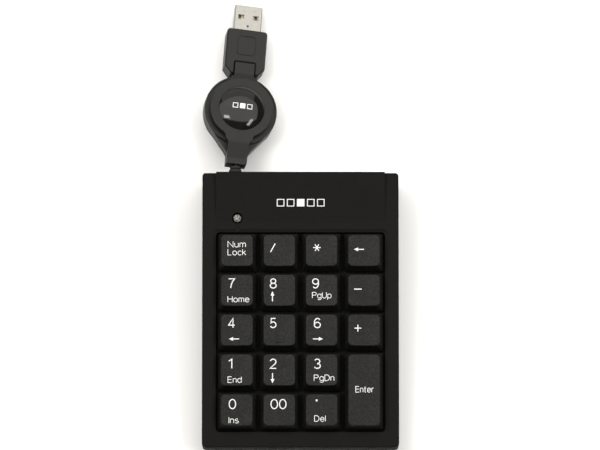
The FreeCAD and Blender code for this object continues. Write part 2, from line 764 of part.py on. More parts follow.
def ribbon(route, thick, z0, z1):
    left = ribbon_side(route, thick / 2)
    right = ribbon_side(route, -thick / 2)
    caps = [
        Part.LineSegment(left[0].firstVertex(True).Point, right[0].firstVertex(True).Point).toShape(),
        Part.LineSegment(left[-1].lastVertex(True).Point, right[-1].lastVertex(True).Point).toShape(),
    ]
    wire = Part.Wire(Part.__sortEdges__(left + right + caps))
    prism = Part.Face(wire).extrude(Vector(0, 0, z1 - z0))
    prism.translate(Vector(0, 0, z0))
    return prism


def spiral(start_r, step, half_turns):
    """Half circles about two centres in turn, each larger by step: a flat spiral."""
    route = []
    for k in range(half_turns):
        centre = Vector(-step / 2 if k % 2 == 0 else step / 2, 0, 0)
        low = 0.0 if k % 2 == 0 else 180.0
        route.append(("arc", centre, start_r + k * step, low, low + 180.0))
    return route


def exit_route(end_y):
    """From the winding's outer end by a tangent line and a bend to straight out along +Y."""
    centre = Vector(-WIND_STEP / 2, 0, 0)
    radius = WIND_START_R + WIND_HALF_TURNS * WIND_STEP
    angle = math.radians(EXIT_ANGLE)
    leave = arc_point(centre, radius, EXIT_ANGLE)
    heading = Vector(-math.sin(angle), math.cos(angle), 0)
    run = (leave.x - EXIT_BEND_R * (1 - math.cos(angle))) / math.sin(angle)
    bend_from = leave + heading * run
    bend_centre = bend_from + Vector(math.cos(angle), math.sin(angle), 0) * EXIT_BEND_R
    bend_to = bend_centre + Vector(-EXIT_BEND_R, 0, 0)
    return [
        ("arc", centre, radius, 0.0, EXIT_ANGLE),
        ("line", leave, bend_from),
        ("arc", bend_centre, EXIT_BEND_R, EXIT_ANGLE + 180.0, 180.0),
        ("line", bend_to, Vector(0, end_y, 0)),
    ]


def route_length(route):
    total = 0.0
    for part in route:
        if part[0] == "line":
            total += (part[2] - part[1]).Length
        else:
            total += part[2] * math.radians(abs(part[4] - part[3]))
    return total


def wound_route(end_y):
    return spiral(WIND_START_R, WIND_STEP, WIND_HALF_TURNS) + exit_route(end_y - MOUTH_INSET)


def wound_cord(end_y):
    return ribbon(wound_route(end_y), CORD_THICK, -CORD_WIDE / 2, CORD_WIDE / 2)


def cord_channel(end_y):
    """Room for the lead from the winding to the mouth, and the wider mouth itself."""
    room = ribbon(exit_route(end_y + 1.0), CORD_THICK + 0.8, -CORD_WIDE / 2 - 0.35, CORD_WIDE / 2 + 0.35)
    mouth = box([-1.6, 1.6], [end_y - 1.6, end_y + 1.0], [-1.8, 1.8])
    return room.fuse(mouth)


# ================================================================ reel
def neck_plan(root, waist, tip, z0, z1):
    """Neck seen from above towards +Y; root, waist and tip are (half-width, y)."""
    half = [(root[0], NECK_ROOT_Y), root, waist, tip]
    corners = half + [(-x, y) for x, y in reversed(half)]
    radii = [0, 0.9, 2.2, 0.4, 0.4, 2.2, 0.9, 0]
    return rounded_prism(corners, radii, z0, z1)


def plug_neck(z0, z1):
    half_w = TONGUE_HALF_W
    return neck_plan((5.7, 13.9), (half_w, 15.1), (half_w, TONGUE_END_Y), z0, z1)


def case_neck(z0, z1):
    return placed(neck_plan((5.9, 13.9), (4.6, 15.3), (4.4, -NECK_END_Y), z0, z1), HALF_TURN)


def reel_back_shell():
    """Round tray with a rounded foot, an axle post, a flare to the case and the necks' lower halves."""
    disc = rod(SHELL_R, 0, 0, SHELL_BACK_Z, SHELL_RIM_Z)
    under = [e for e in disc.Edges if e.BoundBox.ZMax < SHELL_BACK_Z + 0.01]
    disc = disc.makeFillet(SHELL_ROUND, under)
    rim = [e for e in disc.Edges if e.BoundBox.ZMin > SHELL_RIM_Z - 0.01]
    disc = disc.makeFillet(0.4, rim)
    floor_z = SHELL_BACK_Z + SHELL_FLOOR
    room = rod(SHELL_IN_R, 0, 0, floor_z, SHELL_RIM_Z + 1.0)
    room_foot = [e for e in room.Edges if e.BoundBox.ZMax < floor_z + 0.01]
    room = room.makeFillet(SHELL_ROUND - 1.9, room_foot)
    seat = rod(SHELL_LIP_R, 0, 0, SHELL_SEAT_Z, SHELL_RIM_Z + 1.0)
    post = rod(POST_R, 0, 0, floor_z - 0.2, DISC_UNDER_Z)
    pilot = rod(0.8, 0, 0, DISC_UNDER_Z - REEL_SCREW_LONG - 0.5, DISC_UNDER_Z + 1.0)
    flare = neck_plan((12.2, 9.8), (5.3, 18.6), (4.7, 19.6), -NECK_HIGH, SHELL_SEAT_Z)
    necks = [plug_neck(-NECK_HIGH, 0.0), case_neck(-NECK_HIGH, 0.0), placed(flare, HALF_TURN)]
    body = joined([disc] + necks)
    body = body.cut(room).cut(seat)
    body = body.cut(plug_neck(0.0, 9.0)).cut(case_neck(0.0, 9.0))
    body = body.cut(cord_channel(TONGUE_END_Y)).cut(placed(cord_channel(-NECK_END_Y), HALF_TURN))
    return body.fuse(post.cut(pilot))


def upper_neck(shoulder_y, foot, tip):
    """Side profile of a neck's upper half: level, then down to foot and to tip, both (y, z)."""
    bend = [(shoulder_y, DISC_TOP_Z), (shoulder_y + 0.8, DISC_TOP_Z - 0.2)]
    profile = [(NECK_ROOT_Y, 0.0), (NECK_ROOT_Y, DISC_TOP_Z)] + bend + [foot, tip, (tip[0], 0.0)]
    return side_prism(profile, SHELL_R)


def front_disc():
    """Round top plate that flares into both necks, with a rounded upper edge."""
    flares = [neck_plan((10.3, 8.5), (TONGUE_HALF_W, 14.6), (TONGUE_HALF_W, 15.2), DISC_UNDER_Z, DISC_TOP_Z)]
    flare = neck_plan((10.3, 8.5), (4.6, 13.9), (4.6, 15.2), DISC_UNDER_Z, DISC_TOP_Z)
    flares.append(placed(flare, HALF_TURN))
    plate = joined([rod(DISC_R, 0, 0, DISC_UNDER_Z, DISC_TOP_Z)] + flares)
    rim = [e for e in plate.Edges if e.BoundBox.ZMin > DISC_TOP_Z - 0.01 and abs(e.BoundBox.Center.y) < 14.5]
    return plate.makeFillet(0.45, rim)


def reel_front_shell():
    """Flared disc on a narrower ring, a seat flange in the back shell's rim, and the necks' upper halves."""
    ring = rod(RING_R, 0, 0, SHELL_SEAT_Z, DISC_UNDER_Z + 0.1)
    flange = rod(SEAT_FLANGE_R, 0, 0, SHELL_SEAT_Z, SEAT_FLANGE_TOP)
    plug_side = upper_neck(PLUG_NECK_SHOULDER_Y, (16.4, PLUG_HALF_HIGH + 0.2), (TONGUE_END_Y, PLUG_HALF_HIGH))
    case_tip = -NECK_END_Y
    case_foot = (case_tip - 2.4, STRAP_TIP_Z + 0.4)
    case_side = placed(upper_neck(CASE_NECK_SHOULDER_Y, case_foot, (case_tip, STRAP_TIP_Z)), HALF_TURN)
    necks = plug_neck(0.0, 9.0).common(plug_side).fuse(case_neck(0.0, 9.0).common(case_side))
    necks = necks.cut(rod(SHELL_IN_R + 0.05, 0, 0, -1.0, SHELL_SEAT_Z))
    plate = front_disc().common(plug_side.fuse(case_side).fuse(rod(DISC_R, 0, 0, 0.0, DISC_TOP_Z)))
    shell = joined([plate, ring, flange, necks])
    shell = shell.cut(rod(RING_IN_R, 0, 0, SHELL_SEAT_Z - 1.0, DISC_UNDER_Z))
    shell = shell.cut(rod(CAP_R + 0.12, 0, 0, CAP_SEAT_Z, DISC_TOP_Z + 1.0))
    shell = shell.cut(rod(2.1, 0, 0, CAP_SEAT_Z - 1.0, CAP_SEAT_Z + 1.0))
    shell = shell.cut(rod(0.95, 0, 0, 0.0, CAP_SEAT_Z))
    return shell.cut(cord_channel(TONGUE_END_Y)).cut(placed(cord_channel(-NECK_END_Y), HALF_TURN))


def reel_cap():
    """Round cap with a shallow domed top."""
    base = CAP_SEAT_Z + CAP_RIM
    sphere_r = (CAP_R * CAP_R + CAP_DOME * CAP_DOME) / (2 * CAP_DOME)
    ball = Part.makeSphere(sphere_r, Vector(0, 0, base + CAP_DOME - sphere_r))
    cap = ball.common(rod(CAP_R, 0, 0, CAP_SEAT_Z, base + CAP_DOME + 1.0))
    rim = [e for e in cap.Edges if abs(e.BoundBox.ZMax - base) < 0.01 and e.BoundBox.ZMin > CAP_SEAT_Z + 0.1]
    return cap.makeFillet(0.3, rim)


def reel_screw():
    head = rod(1.9, 0, 0, CAP_SEAT_Z - 1.0, CAP_SEAT_Z - 0.1)
    shank = rod(0.78, 0, 0, DISC_UNDER_Z - REEL_SCREW_LONG, CAP_SEAT_Z - 1.0)
    return head.fuse(shank).cut(cross_recess(0, 0, CAP_SEAT_Z - 0.1, 0.4))


def reel_spool():
    """Web, hub and top flange for the lead, with a skirt below that holds the spring."""
    web = rod(SPOOL_R, 0, 0, SPOOL_WEB[0], SPOOL_WEB[1])
    hub = rod(HUB_R, 0, 0, SPOOL_WEB[1] - 0.1, SPOOL_TOP[0] + 0.1)
    top = rod(SPOOL_R, 0, 0, SPOOL_TOP[0], SPOOL_TOP[1])
    skirt = rod(SPOOL_SKIRT_R, 0, 0, SPOOL_LOW_Z, SPOOL_WEB[0] + 0.1)
    skirt = skirt.cut(rod(SPOOL_SKIRT_R - SPOOL_SKIRT_THICK, 0, 0, SPOOL_LOW_Z - 1.0, SPOOL_WEB[0]))
    spool = joined([web, hub, top, skirt])
    return spool.cut(rod(SPOOL_BORE_R, 0, 0, SPOOL_LOW_Z - 1.0, SPOOL_TOP[1] + 1.0))


def reel_spring():
    route = spiral(SPRING_START_R, SPRING_STEP, SPRING_HALF_TURNS)
    return ribbon(route, SPRING_THICK, SPRING_Z[0], SPRING_Z[1])


# ================================================================ plug
def plug_body():
    corners = [
        (-PLUG_HALF_W, PLUG_SHOULDER_Y), (-PLUG_TIP_HALF_W, PLUG_NEAR_Y), (-NOTCH_HALF_W, PLUG_NEAR_Y),
        (-NOTCH_HALF_W, NOTCH_END_Y), (NOTCH_HALF_W, NOTCH_END_Y), (NOTCH_HALF_W, PLUG_NEAR_Y),
        (PLUG_TIP_HALF_W, PLUG_NEAR_Y), (PLUG_HALF_W, PLUG_SHOULDER_Y),
        (PLUG_HALF_W, PLUG_FAR_Y), (-PLUG_HALF_W, PLUG_FAR_Y)]
    radii = [0.9, 0.7, 0.7, 0.6, 0.6, 0.7, 0.7, 0.9, 1.5, 1.5]
    body = rounded_prism(corners, radii, -PLUG_HALF_HIGH, PLUG_HALF_HIGH)
    flat = [e for e in body.Edges if abs(abs(e.BoundBox.Center.z) - PLUG_HALF_HIGH) < 0.01]
    body = body.makeChamfer(PLUG_EDGE, [e for e in flat if e.BoundBox.ZLength < 0.01])
    half_w = PANEL_W / 2
    half_d = PANEL_D / 2
    outer = rectangle(-half_w, half_w, PANEL_Y - half_d, PANEL_Y + half_d)
    line = PANEL_LINE
    inner = rectangle(-half_w + line, half_w - line, PANEL_Y - half_d + line, PANEL_Y + half_d - line)
    low = PLUG_HALF_HIGH - PANEL_DEEP
    groove = rounded_prism(outer, [1.4] * 4, low, low + 1.0)
    groove = groove.cut(rounded_prism(inner, [1.4 - line] * 4, low, low + 1.0))
    socket = box([-USB_W / 2, USB_W / 2], [PLUG_FAR_Y - USB_INSIDE, PLUG_FAR_Y + 1.0],
                 [-USB_HIGH / 2, USB_HIGH / 2])
    half_t = CORD_THICK / 2
    cord_slot = box([-half_t, half_t], [NOTCH_END_Y - 1.0, NOTCH_END_Y + PLUG_CORD_LONG],
                    [-CORD_WIDE / 2, CORD_WIDE / 2])
    return body.cut(groove).cut(socket).cut(cord_slot)


def plug_cord():
    """The lead's end inside the plug, flush with the notch."""
    half_t = CORD_THICK / 2
    return box([-half_t, half_t], [NOTCH_END_Y, NOTCH_END_Y + PLUG_CORD_LONG],
               [-CORD_WIDE / 2, CORD_WIDE / 2])


def usb_sleeve(inset, y0, y1, radius):
    """Rounded bar along Y with the metal shell's section, drawn in by inset."""
    half_w = USB_W / 2 - inset
    half_h = USB_HIGH / 2 - inset
    bar = rounded_prism(rectangle(-half_w, half_w, -half_h, half_h), [radius] * 4, 0.0, y1 - y0)
    turned = Placement(Vector(0, y1, 0), Rotation(Vector(1, 0, 0), 90))
    return placed(bar, turned)


def plug_shell():
    tip = PLUG_FAR_Y + USB_LONG
    shell = usb_sleeve(0.0, PLUG_FAR_Y - USB_INSIDE, tip, 0.5)
    shell = shell.cut(usb_sleeve(USB_WALL, PLUG_FAR_Y - USB_INSIDE - 1.0, tip + 1.0, 0.2))
    y = tip - USB_WINDOW_FROM_TIP
    half_w = USB_WINDOW[0] / 2
    half_d = USB_WINDOW[1] / 2
    for x in (-USB_WINDOW_X, USB_WINDOW_X):
        shell = shell.cut(box([x - half_w, x + half_w], [y - half_d, y + half_d], [-USB_HIGH, USB_HIGH]))
    return shell.cut(rod(0.5, 0.0, PLUG_FAR_Y + 2.2, 0.0, USB_HIGH))


def plug_tongue():
    """Insulator: a block that fills the shell's root, and the tongue that carries the contacts."""
    half_w = USB_W / 2 - USB_WALL - 0.02
    half_h = USB_HIGH / 2 - USB_WALL - 0.02
    block = usb_sleeve(USB_WALL + 0.02, PLUG_FAR_Y - USB_INSIDE + 0.2, PLUG_FAR_Y + 1.0, 0.2)
    tongue = box([-half_w + 0.2, half_w - 0.2], [PLUG_FAR_Y, PLUG_FAR_Y + USB_LONG - 1.0], [-half_h, -0.1])
    return block.fuse(tongue).removeSplitter()


def plug_contacts():
    strips = []
    for x in (-3.5, -1.0, 1.0, 3.5):
        strips.append(box([x - 0.5, x + 0.5], [PLUG_FAR_Y + 1.0, PLUG_FAR_Y + USB_LONG - 2.0], [-0.1, 0.12]))
    return Part.makeCompound(strips)


# ================================================================ everything
def nodes():
    made = {
        "top_cover": top_cover(),
        "bottom_cover": bottom_cover(),
        "case_screws": case_screws(),
        "rubber_feet": rubber_feet(),
        "dome_sheet": dome_sheet(),
        "membrane_top": film(0, False),
        "membrane_spacer": film(1, True),
        "membrane_bottom": film(2, False),
        "controller_board": controller_board(),
        "controller_chip": controller_chip(),
        "membrane_clamp": membrane_clamp(),
        "clamp_screws": clamp_screws(),
        "indicator_led": indicator_led(),
        "strain_relief": strain_relief(),
        "keypad_cord": keypad_cord(),
        "lead_wires": lead_wires(),
    }
    made.update(keys())
    reel = {
        "reel_back_shell": reel_back_shell(),
        "reel_front_shell": reel_front_shell(),
        "reel_cap": reel_cap(),
        "reel_screw": reel_screw(),
        "reel_spool": reel_spool(),
        "reel_spring": reel_spring(),
        "reel_cord_plug_side": wound_cord(TONGUE_END_Y),
        "reel_cord_keypad_side": placed(wound_cord(-NECK_END_Y), HALF_TURN),
        "plug_body": plug_body(),
        "plug_cord": plug_cord(),
        "plug_shell": plug_shell(),
        "plug_tongue": plug_tongue(),
        "plug_contacts": plug_contacts(),
    }
    for name, shape in reel.items():
        made[name] = on_reel(shape)
    return made


os.makedirs("parts", exist_ok=True)
for node_name, node_shape in nodes().items():
    node_shape.exportStep("parts/" + node_name + ".step")
    if not node_shape.isValid():
        print("not valid:", node_name)
print("lead wound on each side, mm:", round(route_length(wound_route(TONGUE_END_Y)), 1),
      round(route_length(wound_route(-NECK_END_Y)), 1))
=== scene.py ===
import json
import math

import bmesh
import bpy
from mathutils import Matrix, Vector


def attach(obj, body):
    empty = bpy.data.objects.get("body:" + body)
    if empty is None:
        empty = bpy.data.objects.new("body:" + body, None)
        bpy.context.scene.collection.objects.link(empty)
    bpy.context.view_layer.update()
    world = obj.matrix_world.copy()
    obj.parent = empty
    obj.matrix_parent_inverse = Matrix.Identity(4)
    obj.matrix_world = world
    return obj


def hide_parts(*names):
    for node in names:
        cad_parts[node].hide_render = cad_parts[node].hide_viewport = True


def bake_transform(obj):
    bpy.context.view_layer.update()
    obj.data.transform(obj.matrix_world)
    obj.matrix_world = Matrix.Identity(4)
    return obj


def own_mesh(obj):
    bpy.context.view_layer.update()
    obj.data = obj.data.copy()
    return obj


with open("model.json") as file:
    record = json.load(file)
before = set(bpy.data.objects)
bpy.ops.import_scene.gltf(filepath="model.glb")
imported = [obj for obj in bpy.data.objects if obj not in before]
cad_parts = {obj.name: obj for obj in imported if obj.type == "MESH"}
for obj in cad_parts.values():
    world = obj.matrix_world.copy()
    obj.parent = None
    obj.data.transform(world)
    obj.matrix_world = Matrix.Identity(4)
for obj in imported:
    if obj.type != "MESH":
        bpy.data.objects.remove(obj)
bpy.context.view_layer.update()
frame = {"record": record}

MM = 0.001

# ---------------------------------------------------------------- sizes shared with the CAD model, in mm
DECK_SLOPE = math.radians(5.5)
DECK_MID_Z = 18.9
COLUMN_X = [-27.0, -9.0, 9.0, 27.0]
ROW_Y = [24.6, 7.6, -9.4, -26.4, -43.4]
KEY_TOP = 13.35
KEY_TOP_D = 13.05
KEY_TOP_SHIFT = 0.4
KEY_TOP_Z = 4.5
KEY_DISH = 0.5
FILM_TOP_Z = -11.15
DOME_FOOT_R = 4.98
CASE_REAR_Y = 58.5
BOOT_LONG = 4.6
BOOT_TO_NECK = 0.5
CORD_X = -28.0
CORD_Z = 15.0
CORD_THICK = 0.9
CORD_WIDE = 2.6
NECK_END_Y = -24.6
TONGUE_END_Y = 21.6
NOTCH_END_Y = 21.9
CAP_SEAT_Z = 5.0
CAP_RIM = 0.45
CAP_R = 9.9
HUMP_START_Y = 37.4
HUMP_RISE = 2.0
MARK_X = 0.1
MARK_Y = 45.8
REEL_TURN = (-4.2, -8.4, 9.0)

# the glossy cap's dome, fuller than the CAD model's
CAP_DOME = 2.4
CAP_FULL = 3.0

# radius of the keys' dished tops
DISH_R = (KEY_TOP ** 2 / 4 + KEY_DISH ** 2) / (2 * KEY_DISH)

DECK = Matrix.Translation((0, 0, DECK_MID_Z * MM)) @ Matrix.Rotation(DECK_SLOPE, 4, "X")


def reel_frame():
    """Frame of the reel: origin at the disc's middle, +Y to the plug, +Z out of the cap."""
    yaw, pitch, roll = (math.radians(a) for a in REEL_TURN)
    turn = Matrix.Rotation(yaw, 4, "Z") @ Matrix.Rotation(pitch, 4, "X") @ Matrix.Rotation(roll, 4, "Y")
    neck = Vector((CORD_X, CASE_REAR_Y + BOOT_LONG + BOOT_TO_NECK, CORD_Z)) * MM
    return Matrix.Translation(neck - turn @ Vector((0, NECK_END_Y * MM, 0))) @ turn


REEL = reel_frame()


# ================================================================ camera, light, floor
ELEVATION = math.radians(79.0)
DISTANCE = 1.7
TARGET = Vector((-0.0002, 0.0362, 0.022))
VIEW_WIDTH = 0.2566
SENSOR = 36.0
REEL_MIDDLE = (-0.025, 0.087, 0.012)
WARM_WHITE = (1.0, 0.985, 0.945)
FLOOR_HALF = 3.0


def camera():
    """Looks down on the deck from its front side; VIEW_WIDTH metres at the target fill the picture."""
    away = Vector((0, -math.cos(ELEVATION), math.sin(ELEVATION)))
    data = bpy.data.cameras.new("camera")
    data.sensor_width = SENSOR
    data.lens = SENSOR * DISTANCE / VIEW_WIDTH
    data.clip_end = 10.0
    eye = bpy.data.objects.new("camera", data)
    eye.location = TARGET + away * DISTANCE
    eye.rotation_euler = away.to_track_quat("Z", "Y").to_euler()
    bpy.context.scene.collection.objects.link(eye)
    bpy.context.scene.camera = eye


def area_light(name, place, target, size, power):
    data = bpy.data.lights.new(name, "AREA")
    data.shape = "RECTANGLE"
    data.size = size[0]
    data.size_y = size[1]
    data.energy = power
    data.color = WARM_WHITE
    lamp = bpy.data.objects.new(name, data)
    lamp.location = place
    lamp.rotation_euler = (Vector(place) - Vector(target)).to_track_quat("Z", "Y").to_euler()
    bpy.context.scene.collection.objects.link(lamp)


def studio():
    """A broad soft box above the rear half, one behind it, and two small ones that glint in the cap."""
    scene = bpy.context.scene
    scene.view_settings.view_transform = "Standard"
    world = bpy.data.worlds.new("studio")
    world.use_nodes = True
    world.node_tree.nodes["Background"].inputs[0].default_value = (1, 1, 1, 1)
    world.node_tree.nodes["Background"].inputs[1].default_value = 0.03
    scene.world = world
    area_light("overhead", (0.0, 0.72, 1.35), (0.0, 0.72, 0.0), (4.0, 1.76), 52.0)
    area_light("rear", (0.0, 2.2, 0.9), (0.0, 0.09, 0.01), (3.4, 1.5), 17.0)
    area_light("glint_left", (-0.52, 0.06, 1.05), REEL_MIDDLE, (0.16, 0.42), 3.4)
    area_light("glint_right", (0.72, -0.20, 0.95), REEL_MIDDLE, (0.50, 0.20), 4.2)
    floor = bpy.data.meshes.new("floor")
    signs = ((-1, -1), (1, -1), (1, 1), (-1, 1))
    floor.from_pydata([(x * FLOOR_HALF, y * FLOOR_HALF, 0) for x, y in signs], [], [(0, 1, 2, 3)])
    plane = bpy.data.objects.new("floor", floor)
    bpy.context.scene.collection.objects.link(plane)
    paper = Surface("paper", (0.93, 0.93, 0.93), 0.9)
    floor.materials.append(paper.material)


# ================================================================ materials
class Surface:
    """A node material: a Principled shader and helpers that chain procedural nodes to it."""

    def __init__(self, name, color, roughness, metallic=0.0, specular=0.5):
        self.material = bpy.data.materials.new(name)
        self.material.use_nodes = True
        self.tree = self.material.node_tree
        self.shader = self.tree.nodes["Principled BSDF"]
        self.shader.inputs["Base Color"].default_value = (*color, 1)
        self.shader.inputs["Roughness"].default_value = roughness
        self.shader.inputs["Metallic"].default_value = metallic
        self.shader.inputs["Specular IOR Level"].default_value = specular
        self.color = color
        self.height = None

    def node(self, kind, **values):
        made = self.tree.nodes.new(kind)
        for key, value in values.items():
            if key in made.inputs:
                made.inputs[key].default_value = value
            else:
                setattr(made, key, value)
        return made

    def link(self, out, into):
        self.tree.links.new(out, into)

    def place(self):
        """Object coordinates in metres, so that grain has its real size."""
        return self.node("ShaderNodeTexCoord").outputs["Object"]

    def noise(self, size_mm, detail=3.0, rough=0.5):
        made = self.node("ShaderNodeTexNoise")
        made.inputs["Scale"].default_value = 1.0 / (size_mm * MM)
        made.inputs["Detail"].default_value = detail
        made.inputs["Roughness"].default_value = rough
        self.link(self.place(), made.inputs["Vector"])
        return made.outputs["Fac"]

    def cells(self, size_mm):
        made = self.node("ShaderNodeTexVoronoi")
        made.inputs["Scale"].default_value = 1.0 / (size_mm * MM)
        self.link(self.place(), made.inputs["Vector"])
        return made.outputs["Distance"]

    def ramp(self, value, low, high, from_min=0.3, from_max=0.7):
        """Maps a value between two limits to low...high."""
        made = self.node("ShaderNodeMapRange")
        made.inputs["From Min"].default_value = from_min
        made.inputs["From Max"].default_value = from_max
        made.inputs["To Min"].default_value = low
        made.inputs["To Max"].default_value = high
        self.link(value, made.inputs["Value"])
        return made.outputs["Result"]

    def vary_color(self, value, other, from_min=0.3, from_max=0.7):
        """Blends the base colour towards another one by a value."""
        mix = self.node("ShaderNodeMix", data_type="RGBA")
        factor, first, second = mix.inputs[0], mix.inputs[6], mix.inputs[7]
        first.default_value = (*self.color, 1)
        second.default_value = (*other, 1)
        self.link(self.ramp(value, 0.0, 1.0, from_min, from_max), factor)
        self.link(mix.outputs[2], self.shader.inputs["Base Color"])

    def vary_roughness(self, value, low, high):
        self.link(self.ramp(value, low, high), self.shader.inputs["Roughness"])

    def bump(self, value, deep_mm, strength=1.0):
        """Adds relief of the given depth; several calls stack up."""
        made = self.node("ShaderNodeBump")
        made.inputs["Strength"].default_value = strength
        made.inputs["Distance"].default_value = deep_mm * MM
        self.link(value, made.inputs["Height"])
        if self.height:
            self.link(self.height, made.inputs["Normal"])
        self.height = made.outputs["Normal"]
        self.link(self.height, self.shader.inputs["Normal"])


def moulded(name, color, lighter, roughness, grain_mm, grain_deep, specular=0.3, speckle_mm=0.35):
    """Spark-eroded plastic: fine grain, speckles of a lighter colour and uneven sheen."""
    plastic = Surface(name, color, roughness, specular=specular)
    plastic.vary_color(plastic.noise(speckle_mm, 4.0, 0.65), lighter, 0.42, 0.68)
    plastic.vary_roughness(plastic.noise(7.0, 2.0), roughness - 0.05, roughness + 0.05)
    plastic.bump(plastic.noise(grain_mm, 2.0, 0.6), grain_deep, 0.6)
    return plastic.material


def materials():
    """Every material by the record's slot name."""
    made = {
        "case": moulded("case_plastic", (0.0085, 0.0082, 0.0077), (0.0115, 0.0111, 0.0104),
                        0.62, 0.16, 0.012, 0.04),
        "keycap": moulded("keycap_plastic", (0.0055, 0.0054, 0.0048), (0.0185, 0.0182, 0.0165),
                          0.55, 0.22, 0.02, 0.19, 0.8),
        "reel": moulded("reel_plastic", (0.0085, 0.0083, 0.0072), (0.012, 0.0118, 0.0102),
                        0.42, 0.18, 0.008, 0.25),
        "spool": moulded("spool_plastic", (0.10, 0.10, 0.10), (0.12, 0.12, 0.12), 0.5, 0.3, 0.01),
        "insulator": moulded("insulator_plastic", (0.78, 0.77, 0.72), (0.83, 0.82, 0.78), 0.5, 0.3, 0.005),
        "chip": moulded("chip_epoxy", (0.012, 0.012, 0.012), (0.02, 0.02, 0.02), 0.55, 0.2, 0.01),
    }
    made["rubber"] = rubber("boot_rubber", (0.008, 0.008, 0.0075), 0.7)
    made["cord"] = rubber("cord_jacket", (0.008, 0.008, 0.0075), 0.55)
    made["silicone"] = silicone()
    made["film"] = film()
    made["board"] = board()
    made["led"] = led_resin()
    made["gloss"] = gloss()
    made["steel"] = metal("zinc_steel", (0.62, 0.62, 0.60), 0.32)
    made["plated"] = metal("nickel_shell", (0.33, 0.322, 0.30), 0.33)
    # gold darkened well below its own colour: painted shade for contacts that sit in shadow inside the plug's
    # shell
    made["contacts"] = metal("gold_contacts_painted_shade", (0.30, 0.21, 0.10), 0.4)
    made["ink"] = ink()
    return made


def rubber(name, color, roughness):
    soft = Surface(name, color, roughness, specular=0.3)
    soft.vary_color(soft.noise(0.5, 4.0), tuple(c * 1.5 for c in color), 0.4, 0.7)
    soft.bump(soft.noise(0.12, 3.0), 0.01, 0.5)
    return soft.material


def silicone():
    soft = Surface("dome_silicone", (0.72, 0.73, 0.70), 0.5)
    soft.shader.inputs["Subsurface Weight"].default_value = 0.2
    soft.vary_color(soft.noise(3.0, 2.0), (0.66, 0.68, 0.65))
    soft.bump(soft.noise(0.3, 2.0), 0.01, 0.4)
    return soft.material


def film():
    sheet = Surface("contact_film", (0.62, 0.68, 0.64), 0.2)
    sheet.vary_color(sheet.noise(9.0, 2.0), (0.58, 0.65, 0.62))
    sheet.bump(sheet.noise(2.0, 2.0), 0.01, 0.3)
    return sheet.material


def board():
    """Green solder mask with faint tracks."""
    mask = Surface("solder_mask", (0.010, 0.10, 0.035), 0.35)
    wave = mask.node("ShaderNodeTexWave", wave_type="BANDS", bands_direction="X")
    wave.inputs["Scale"].default_value = 450.0
    mask.link(mask.place(), wave.inputs["Vector"])
    mask.vary_color(wave.outputs["Fac"], (0.02, 0.17, 0.06), 0.7, 0.8)
    mask.bump(wave.outputs["Fac"], 0.02, 0.4)
    return mask.material


def led_resin():
    """Smoky resin with the lead frame's parts dimly inside."""
    resin = Surface("lamp_resin", (0.19, 0.18, 0.155), 0.12)
    resin.vary_color(resin.cells(1.3), (0.035, 0.033, 0.028), 0.25, 0.5)
    resin.bump(resin.cells(0.9), 0.25, 0.8)
    resin.shader.inputs["Coat Weight"].default_value = 0.8
    resin.shader.inputs["Coat Roughness"].default_value = 0.05
    return resin.material


def gloss():
    shiny = Surface("cap_gloss", (0.0065, 0.0063, 0.0057), 0.1, specular=0.33)
    shiny.vary_color(shiny.noise(4.0, 3.0), (0.0095, 0.0092, 0.0083))
    shiny.vary_roughness(shiny.noise(2.5, 3.0), 0.08, 0.13)
    return shiny.material


def metal(name, color, roughness):
    plate = Surface(name, color, roughness, 1.0)
    plate.vary_color(plate.noise(1.2, 4.0), tuple(c * 0.88 for c in color))
    plate.vary_roughness(plate.noise(0.6, 4.0), roughness - 0.07, roughness + 0.1)
    plate.bump(plate.noise(0.25, 3.0), 0.004, 0.4)
    return plate.material


def ink():
    """Pad-printed legend ink, a little uneven."""
    print_ink = Surface("legend_ink", (0.80, 0.80, 0.79), 0.5)
    print_ink.vary_color(print_ink.noise(0.25, 3.0), (0.70, 0.70, 0.69), 0.45, 0.75)
    print_ink.bump(print_ink.noise(0.15, 2.0), 0.006, 0.4)
    return print_ink.material


def dress_nodes(slots):
    """Gives every CAD node its slot's material."""
    for part in frame["record"]["subparts"]:
        name = part["node"]
        obj = bpy.data.objects[name]
        obj.data.materials.clear()
        obj.data.materials.append(slots[part["material_slot"]])


# ================================================================ legends
def on_dish(x):
    """Deck-local height of a key's dished top at a distance x from its middle."""
    return KEY_TOP_Z - KEY_DISH + DISH_R - math.sqrt(DISH_R ** 2 - x ** 2)


INK_HIGH = 0.04
X_HIGH = 0.72
LETTER_GAP = 0.17
FULL = 360.0


def arc(x, y, rx, ry, start, stop):
    """Points of an elliptic arc, from start to stop in degrees."""
    count = max(4, round(abs(stop - start) / 15))
    angles = [math.radians(start + (stop - start) * i / count) for i in range(count + 1)]
    return [(x + rx * math.cos(a), y + ry * math.sin(a)) for a in angles]


def half_turned(strokes, width):
    return [[(width - x, 1 - y) for x, y in stroke] for stroke in strokes]


